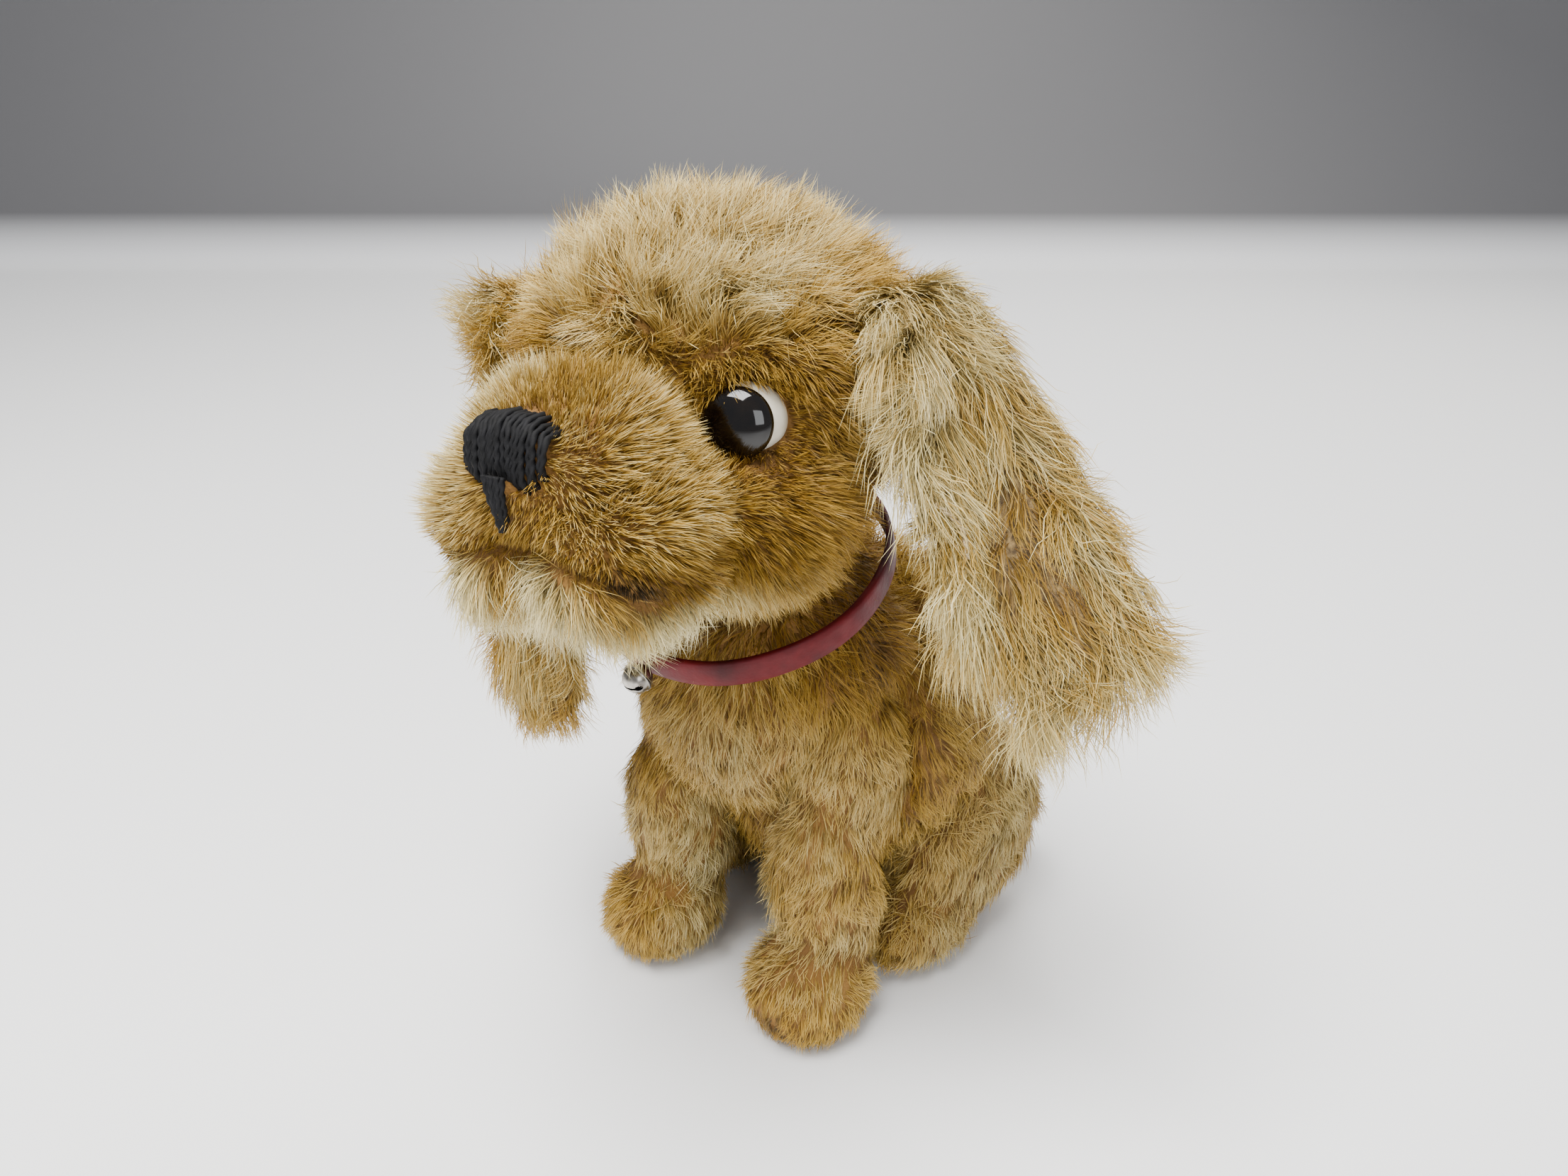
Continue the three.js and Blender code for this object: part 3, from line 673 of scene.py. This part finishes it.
def build_head():
    covers = ["head_side_left", "head_side_right", "head_gusset", "chin_panel"]
    features = ["eye_left_ball", "eye_right_ball", "nose_stitching"]
    base = skin("head_skin", covers, ["neck_disc_upper", "head_filling", *features], inset=0.7)
    points = coordinates(base.data)
    p = local(HEAD_FRAME, points)
    swell = 1.4 * puffed(p) - 1.4 * mouth(p)[0]
    set_coordinates(base.data, points + swell[:, None] * vertex_normals(base.data))
    give(base, "head", "gold_pile", *covers, "head_filling")
    furred("head_pile", "head", "gold_pile", base, 135000, head_look, head_density, seed=11, width=0.115)


def lathe(profile, steps):
    """Vertices and faces of a profile of (radius, height) turned about Z."""
    angles = np.linspace(0, math.tau, steps, endpoint=False)
    profile = np.array(profile, float)
    ring = np.stack([np.cos(angles), np.sin(angles)], 1)
    vertices = np.concatenate([
        np.concatenate([ring * r, np.full((steps, 1), h)], 1) for r, h in profile])
    faces = [
        (i * steps + j, i * steps + (j + 1) % steps, (i + 1) * steps + (j + 1) % steps, (i + 1) * steps + j)
        for i in range(len(profile) - 1) for j in range(steps)]
    return vertices, faces


def closed_lathe(profile, steps):
    """A lathe whose first and last rings are drawn in to the axis."""
    return lathe([(1e-3, profile[0][1]), *profile, (1e-3, profile[-1][1])], steps)


def eye_frame(side):
    tilt = Matrix.Rotation(math.radians(4), 4, "X") @ Matrix.Rotation(math.radians(side * 17), 4, "Z")
    return HEAD_FRAME @ Matrix.Translation(Vector(EYES[side])) @ tilt


def build_eye(name, side):
    place = eye_frame(side)
    forward = Matrix.Rotation(math.radians(90), 4, "X")  # the lathe's axis turned to face -Y
    arc = np.linspace(-math.pi / 2 + 0.02, math.pi / 2 - 0.02, 40)
    ball = [(EYE_RADIUS * math.cos(a), EYE_RADIUS * math.sin(a)) for a in arc]
    vertices, faces = closed_lathe(ball, 64)
    made = mesh_object(f"{name}_glass", placed(place @ forward, vertices), faces, WHITE_GLASS)
    give(made, "head", "white_glass", f"{name}_ball")
    dome = [(PUPIL_RADIUS * math.cos(a), PUPIL_RISE * math.sin(a)) for a in arc]
    vertices, faces = closed_lathe(dome, 64)
    upward = Matrix.Rotation(math.radians(-14), 4, "X") @ Matrix.Rotation(math.radians(-side * 2), 4, "Z")
    shift = Matrix.Translation((0, 1 - EYE_RADIUS, 0))
    made = mesh_object(f"{name}_dome", placed(place @ upward @ shift @ forward, vertices), faces, BLACK_GLASS)
    give(made, "head", "black_glass", f"{name}_pupil")


def tube(points, radius, sides, ply, pitch, start=0.0):
    """Vertices and faces of a closed tube along points. ply makes it a twisted two-ply thread."""
    along = unit(np.gradient(points, axis=0))
    upward = np.array([0.31, 0.17, 0.93])
    length = np.concatenate([[0], np.cumsum(np.linalg.norm(np.diff(points, axis=0), axis=1))])
    first = unit(np.cross(along, upward))
    second = np.cross(along, first)
    angles = np.linspace(0, math.tau, sides, endpoint=False)
    rings = []
    for i in range(len(points)):
        r = radius * (1 + ply * np.cos(2 * (angles - start - math.tau * length[i] / pitch / 2)))
        ring = np.outer(r * np.cos(angles), first[i]) + np.outer(r * np.sin(angles), second[i])
        rings.append(points[i] + ring)
    vertices = np.concatenate([*rings, points[:1], points[-1:]])
    faces = [
        (i * sides + j, i * sides + (j + 1) % sides, (i + 1) * sides + (j + 1) % sides, (i + 1) * sides + j)
        for i in range(len(points) - 1) for j in range(sides)]
    last = len(points) * sides
    faces += [(last, (j + 1) % sides, j) for j in range(sides)]
    faces += [(last + 1, last - sides + j, last - sides + (j + 1) % sides) for j in range(sides)]
    return vertices, faces


def several(shapes):
    """Several shapes as one list of vertices and faces."""
    vertices, faces, count = [], [], 0
    for v, f in shapes:
        vertices.append(v)
        faces += [tuple(i + count for i in face) for face in f]
        count += len(v)
    return np.concatenate(vertices), faces


def build_nose():
    """Twisted black thread laid upright over a pad, two lobes wide, with a short tongue of it below."""
    rng = np.random.default_rng(4)
    tilt = Matrix.Rotation(math.radians(-14), 4, "X")
    place = HEAD_FRAME @ Matrix.Translation(Vector(NOSE)) @ tilt
    shapes = []
    stitches = 21
    for i in range(stitches):
        x = np.interp(i, [0, stitches - 1], [-5.7, 5.7])
        round_off = math.sqrt(max(0, 1 - (abs(x) / 6.3) ** 2))
        high = 4.4 * round_off**0.6 + rng.normal() * 0.12
        lobe = 3.7 + 1.1 * math.exp(-(((abs(x) - 3.3) / 1.5) ** 2))
        low = -lobe * round_off**0.4 + rng.normal() * 0.1
        t = np.linspace(0, 1, 34)
        z = high + (low - high) * t
        bulge = 3.7 * np.sqrt(np.clip(1 - (2 * t - 1) ** 4, 0, 1)) * (0.66 + 0.34 * round_off)
        y = 3.4 - bulge + 0.2 * (i % 2) + rng.normal() * 0.06
        xs = x + 0.2 * np.sin(t * 3 + i) + 0.14 * rng.normal() * t
        shapes.append(tube(np.stack([xs, y, z], 1), 0.36, 8, 0.26, 1.3, rng.uniform(0, math.pi)))
    for i, x in enumerate((-1.3, -0.78, -0.26, 0.26, 0.78, 1.3)):
        t = np.linspace(0, 1, 24)
        z = -2.6 + (-9.2 + 1.2 * abs(x) + 2.6) * t
        y = -1.1 + 1.4 * t**2 + 0.14 * (i % 2)
        xs = 0.4 * t + x * (1 - 0.6 * t)
        shapes.append(tube(np.stack([xs, y, z], 1), 0.34, 8, 0.26, 1.3, rng.uniform(0, math.pi)))
    vertices, faces = several(shapes)
    made = mesh_object("nose_stitches", placed(place, vertices), faces, FLOSS)
    give(made, "head", "black_floss", "nose_stitching")


# ---------------------------------------------------------------- body

def torso_look(points, normals):
    p = local(STANCE, points)
    x, y, z = p.T
    front = 1 - smoothstep(y, 2, 16)
    chest = front * (1 - smoothstep(np.abs(x), 6, 13)) * smoothstep(z, 30, 44)
    comb = np.stack([0.15 * np.sign(x) + 0 * x, 0.25 * (1 - front), -1 + 0 * x], 1)
    # Darker towards the floor.
    near_floor = 1 - smoothstep(z, 6, 26)
    hue = GOLD - 0.04 + 0.16 * chest - 0.1 * near_floor + 0.09 * waves(p, 17, 8)[:, 0]
    # Up at the neck the pile is longer and painted darker, as painted shade under the head and collar.
    neck = smoothstep(z, 60, 68)
    return {
        "length": 4.3 + 0.8 * chest + 2.4 * neck, "comb": comb,
        "lift": 0.42 + 0.1 * chest + 0.35 * neck, "hue": hue - 0.12 * neck,
        "tuft": 2.3, "gather": 0.55, "mess": 0.4, "pale": 0.14, "stray": 0.06, "wave": 0.06,
    }


def leg_look(points, normals):
    p = local(STANCE, points)
    x, y, z = p.T
    comb = np.stack([0 * x, -0.25 + 0 * x, -1 + 0 * x], 1)
    paw = 1 - smoothstep(z, 8, 18)
    worn = np.exp(-((x - 17) ** 2 + (y + 6) ** 2 + (z - 8.5) ** 2) / 14)
    inner = smoothstep(-np.abs(x), -13, -8) * 0.22
    hue = GOLD + 0.06 + inner - 0.06 * paw - 0.4 * worn + 0.09 * waves(p, 12, 9)[:, 0]
    # light 0.82: the legs' pile is painted brighter, as painted light on them.
    return {
        "length": 3.9 - 0.9 * paw - 1.2 * worn, "comb": comb, "lift": 0.34 + 0.12 * paw, "hue": hue,
        "tuft": 2.6, "gather": 0.75, "mess": 0.35, "pale": 0.12, "stray": 0.05, "wave": 0.05, "light": 0.82,
    }


def hind_look(points, normals):
    p = local(STANCE, points)
    x, y, z = p.T
    comb = np.stack([0 * x, -0.35 + 0 * x, -0.8 + 0 * x], 1)
    low = 1 - smoothstep(z, 4, 20)
    hue = GOLD + 0.18 - 0.08 * low + 0.09 * waves(p, 14, 10)[:, 0]
    return {
        "length": 4.3 - 0.8 * low, "comb": comb, "lift": 0.36, "hue": hue,
        "tuft": 2.5, "gather": 0.65, "mess": 0.45, "pale": 0.1, "stray": 0.05, "wave": 0.05,
    }


def open_side(points, normals):
    """Less pile where the seat, paws and inner sides are hidden."""
    return 0.25 + 0.75 * smoothstep(points[:, 2], 0.5, 4) * smoothstep(normals[:, 2], -0.95, -0.5)


def build_torso():
    covers = ["body_side_left", "body_side_right", "chest_gusset"]
    base = skin("body_skin", covers, ["neck_disc_lower", "body_filling"], voxel=1.3)
    points = coordinates(base.data)
    x, y, z = local(STANCE, points).T
    flank = 3.0 * smoothstep(np.abs(x), 6, 18) * smoothstep(y, 8, 24) * smoothstep(z, 26, 40)
    set_coordinates(base.data, points + flank[:, None] * vertex_normals(base.data))
    plumped(base, 0.6)
    give(base, "torso", "gold_pile", *covers, "body_filling")
    furred("body_pile", "torso", "gold_pile", base, 56000, torso_look, open_side, seed=21)
    for side in ("left", "right"):
        for kind, look, count in (("front_leg", leg_look, 24000), ("hind_leg", hind_look, 20000)):
            node = f"{kind}_{side}"
            base = skin(f"{node}_skin", [node], voxel=1.2)
            plumped(base, 0.5)
            give(base, "torso", "gold_pile", node)
            furred(f"{node}_pile", "torso", "gold_pile", base, count, look, open_side, seed=31)
    base = skin("tail_skin", ["tail"], voxel=0.8, rounds=3, inset=0.3)
    give(base, "torso", "gold_pile", "tail")
    furred("tail_pile", "torso", "gold_pile", base, 7000, hind_look, seed=41)


# ---------------------------------------------------------------- ears

def ear_matrix(name):
    """Along X the seam, towards -Y the hanging end, and +Z the outer face, as the joint says."""
    joint = JOINTS[f"{name}_flap"]
    across = -np.array(joint["axis"])
    middle = np.array(joint["pos_m"]) / MM
    points = coordinates(NODES[name].data) - middle
    seam = points[np.abs(points @ across) < 9]
    # The sheets start at the seam square to their outer face, so the seam's own thickness gives it.
    near = seam[np.linalg.norm(seam - (seam @ across)[:, None] * across, axis=1) < 2.2]
    face = unit((near - (near @ across)[:, None] * across).mean(0))
    matrix = np.eye(4)
    matrix[:3] = np.stack([across, -unit(np.cross(across, face)), face, middle], 1)
    return Matrix(matrix)


def build_ear(name):
    place = ear_matrix(name)
    sheets = [name, f"{name}_lining"]
    base = skin(f"{name}_skin", sheets, voxel=0.7, rounds=5, inset=0.25, material=EAR_BACKING)
    give(base, name, "ear_pile", *sheets)
    twist = math.radians(EAR_TWIST[name])
    forward = -1 if place[1][0] > 0 else 1
    golden = 1 if name == "ear_right" else 0  # the right ear is the less faded and less worn one

    def look(points, normals):
        p = local(place, points)
        n = turned(place.inverted(), normals)
        along = np.clip(-p[:, 1] / EAR_LENGTH[name], 0, 1)
        angle = -twist * along
        flat_x = np.cos(angle) * p[:, 0] + np.sin(angle) * p[:, 2]
        normal_z = -np.sin(angle) * n[:, 0] + np.cos(angle) * n[:, 2]
        outer = smoothstep(normal_z, -0.2, 0.3)
        edge = smoothstep(np.abs(flat_x) / EAR_HALF_WIDTH, 0.55, 1.0)
        back = smoothstep(-forward * flat_x, 3, 9)
        root = 1 - smoothstep(along, 0.02, 0.25)
        bare = np.exp(-((flat_x - 1.5 * forward) / 4.6) ** 2 - ((along - 0.55) / 0.3) ** 2) * outer
        bare = np.clip(1.25 * bare * (1 + 0.8 * waves(p, 7, 14)[:, 1]), 0, 1) * (1 - golden)
        end = smoothstep(along, 0.72, 0.95)
        comb = np.stack([0.08 * flat_x + forward * 0.5 * root, -1 + 0.8 * root * golden, 0.1 * root], 1)
        length = 4.2 + 4.6 * outer * (1 - 0.3 * edge) * (1 - 0.5 * root) + 0.8 * root * golden
        length = length * (1 - 0.3 * end * (1 - outer)) * (1 - 0.5 * bare) * (1 - 0.45 * golden * end)
        hue = BLOND - 0.05 + 0.12 * waves(p, 8, 12)[:, 0] + 0.09 * waves(p, 3.5, 15)[:, 0]
        hue = hue - 0.12 * back - 0.1 * (1 - outer) - 0.42 * bare + 0.12 * root * golden
        chance = np.random.default_rng(5).random(len(p))
        # light: the right ear's root painted brighter, as painted light on it; lower on the worn bare patch.
        return {
            "length": length, "comb": turned(place, comb), "lift": 0.3 - 0.06 * outer + 0.3 * root,
            "hue": hue - 0.17 * golden, "tuft": 3.8, "gather": 0.9 - 0.4 * golden, "mess": 0.9 - 0.5 * golden,
            "pale": 0.16, "stray": 0.07, "wave": 0.2, "curls": 5.5, "droop": 0.25 - 0.15 * golden,
            "motley": 0.08, "light": 0.66 - 0.2 * bare + 0.3 * root * golden, "keep": chance > 0.8 * bare,
        }

    def density(points, normals):
        return 1 + 1.6 * (1 - smoothstep(-local(place, points)[:, 1] / EAR_LENGTH[name], 0.02, 0.25))

    count = 46000 if name == "ear_left" else 32000
    furred(f"{name}_pile", name, "ear_pile", base, count, look, density, seed=51, width=0.13, parts=5)


def loose_yarn():
    """A twist of cream thread that has come loose at the left ear's root."""
    place = ear_matrix("ear_left")
    t = np.linspace(0, 1, 60)
    shapes = []
    for k in range(2):
        x = -12 + 1.6 * t + 0.5 * np.sin(4 * t) + 0.2 * np.sin(22 * t + math.pi * k)
        y = -25.5 - 8 * t
        z = -1.6 + 1.2 * np.sin(3 * t) + 0.2 * np.cos(22 * t + math.pi * k)
        shapes.append(tube(np.stack([x, y, z], 1), 0.19, 6, 0.2, 0.8))
    vertices, faces = several(shapes)
    made = mesh_object("loose_yarn", placed(place, vertices), faces, YARN)
    give(made, "ear_left", "ear_pile")


# ---------------------------------------------------------------- collar and bell

def build_collar():
    steps = 180
    outer = COLLAR_RADIUS + COLLAR_THICKNESS
    low, high = COLLAR_LOW, COLLAR_LOW + COLLAR_WIDTH
    e = 0.28  # how far the edges are rounded
    profile = [
        (COLLAR_RADIUS + e, low), (outer - e, low), (outer - 0.05, low + e), (outer + 0.03, low + 1.2),
        (outer + 0.03, high - 1.2), (outer - 0.05, high - e), (outer - e, high), (COLLAR_RADIUS + e, high),
        (COLLAR_RADIUS, high - e), (COLLAR_RADIUS, low + e), (COLLAR_RADIUS + e, low)]
    vertices, faces = lathe(profile, steps)
    angle = np.arctan2(vertices[:, 1], vertices[:, 0])
    vertices[:, 2] += 0.16 * np.sin(3 * angle + 0.4) + 0.1 * np.sin(7 * angle)
    made = mesh_object("collar_leather", placed(NECK_FRAME, vertices), faces, LEATHER)
    weld = bmesh.new()
    weld.from_mesh(made.data)
    bmesh.ops.remove_doubles(weld, verts=weld.verts, dist=1e-7)
    weld.to_mesh(made.data)
    weld.free()
    give(made, "collar", "red_leather", "collar_strap")
    profile = [(1.5, 0), (1.5, 0.25), (1.2, 0.55), (0.6, 0.72)]
    vertices, faces = closed_lathe(profile, 32)
    outward = Matrix.Rotation(math.radians(-90), 4, "X")
    back = NECK_FRAME @ Matrix.Translation((0, outer + 0.25, (low + high) / 2)) @ outward
    made = mesh_object("collar_rivet_head", placed(back, vertices), faces, NICKEL)
    give(made, "collar", "nickel", "collar_rivet")


def build_bell():
    """Two pressed half balls with a rolled seam, the front one with its slot between two round holes."""
    wall = 0.35
    halves = (("bell_back", 0.05, math.pi / 2 - 0.28), ("bell_front", -math.pi / 2 + 0.02, -0.05))
    for node, low, high in halves:
        arc = np.linspace(low, high, 22)
        outer = [(BELL_RADIUS * math.cos(a), BELL_RADIUS * math.sin(a)) for a in arc]
        inner = [((BELL_RADIUS - wall) * math.cos(a), (BELL_RADIUS - wall) * math.sin(a)) for a in arc[::-1]]
        lip = (BELL_RADIUS + 0.16, outer[0 if node == "bell_back" else -1][1])
        ring = [lip, *outer, *inner, lip] if node == "bell_back" else [*outer, lip, *inner, outer[0]]
        vertices, faces = lathe(ring, 64)
        if node == "bell_front":
            centres = np.array([vertices[list(f)].mean(0) for f in faces])
            slit = (np.abs(centres[:, 1]) < 0.2) & (centres[:, 2] < -1.0)
            holes = (np.hypot(np.abs(centres[:, 0]) - 1.5, centres[:, 1]) < 0.42) & (centres[:, 2] < -0.8)
            faces = [f for f, gone in zip(faces, slit | holes) if not gone]
        made = mesh_object(f"{node}_shell", placed(BELL_FRAME, vertices), faces, NICKEL)
        give(made, "bell", "nickel", node)


# ---------------------------------------------------------------- CAD nodes that keep their own shape

def dress_cad_nodes():
    """Pieces that the CAD already makes well get a real finish."""
    finishes = {
        "neck_disc_lower": BOARD, "neck_disc_upper": BOARD, "neck_washer_lower": STEEL, "cotter_pin": STEEL,
        "neck_washer_upper": STEEL, "eye_left_shank": STEEL, "eye_right_shank": STEEL, "bell_shank": STEEL,
        "bell_pellet": STEEL,
    }
    for node, material in finishes.items():
        data = NODES[node].data
        data.materials.clear()
        data.materials.append(material)


# ---------------------------------------------------------------- stage, light and camera

def stage():
    material, tree, shader = nodes_of("table_top", 0.55)
    where = tree.nodes.new("ShaderNodeTexCoord")
    split = tree.nodes.new("ShaderNodeSeparateXYZ")
    tree.links.new(where.outputs["Object"], split.inputs["Vector"])
    height = ramp(tree, split.outputs["Z"], [
        (0.0, (252, 253, 254)), (0.006, (236, 237, 240)), (0.03, (98, 98, 100))])
    tree.links.new(height, shader.inputs["Base Color"])
    far = 640  # where the table turns up into a backdrop
    depth = np.concatenate([np.linspace(-1200, far, 9), np.linspace(far + 10, 1000, 30)])
    rise = np.where(depth > far, 0.012 * (depth - far) ** 2, 0)
    vertices = [(x, y, z) for y, z in zip(depth, rise) for x in (-2600, 2600)]
    faces = [(2 * i, 2 * i + 1, 2 * i + 3, 2 * i + 2) for i in range(len(depth) - 1)]
    floor = mesh_object("table", vertices, faces, material)
    floor.rotation_euler = (0, 0, math.radians(VIEW_TURN))


def lamp(name, place, size, energy, colour):
    """A rectangular lamp turned to the puppy's middle."""
    target = Vector((-10, -20, 70))
    data = bpy.data.lights.new(name, "AREA")
    data.shape = "RECTANGLE"
    data.size, data.size_y = (s * MM for s in size)
    data.energy = energy
    data.color = colour
    made = linked(name, data)
    made.location = Vector(place) * MM
    made.rotation_euler = (target - Vector(place)).to_track_quat("-Z", "Y").to_euler()


def light():
    world = bpy.data.worlds.new("room")
    world.use_nodes = True
    bpy.context.scene.world = world
    background = world.node_tree.nodes["Background"]
    background.inputs["Color"].default_value = (0.78, 0.8, 0.84, 1)
    background.inputs["Strength"].default_value = 0.55
    lamp("window", (-40, -210, 670), (400, 400), 12.0, (1.0, 0.98, 0.95))
    lamp("room_fill", (560, -360, 330), (340, 340), 1.8, (0.96, 0.98, 1.0))
    lamp("back_light", (-120, 620, 520), (600, 300), 3.6, (1.0, 0.97, 0.92))


def camera():
    data = bpy.data.cameras.new("camera")
    data.lens = 27
    data.sensor_width = 36
    data.clip_start = 0.01
    made = linked("camera", data)
    made.location = (STANCE @ Vector((104.1, -118.5, 156))) * MM
    made.rotation_euler = (math.radians(90 - VIEW_TILT), 0, math.radians(VIEW_TURN))
    bpy.context.scene.camera = made


build_head()
for eye_name, eye_side in (("eye_left", 1), ("eye_right", -1)):
    build_eye(eye_name, eye_side)
build_nose()
build_torso()
for ear_name in EAR_TWIST:
    build_ear(ear_name)
loose_yarn()
build_collar()
build_bell()
dress_cad_nodes()
stage()
light()
camera()
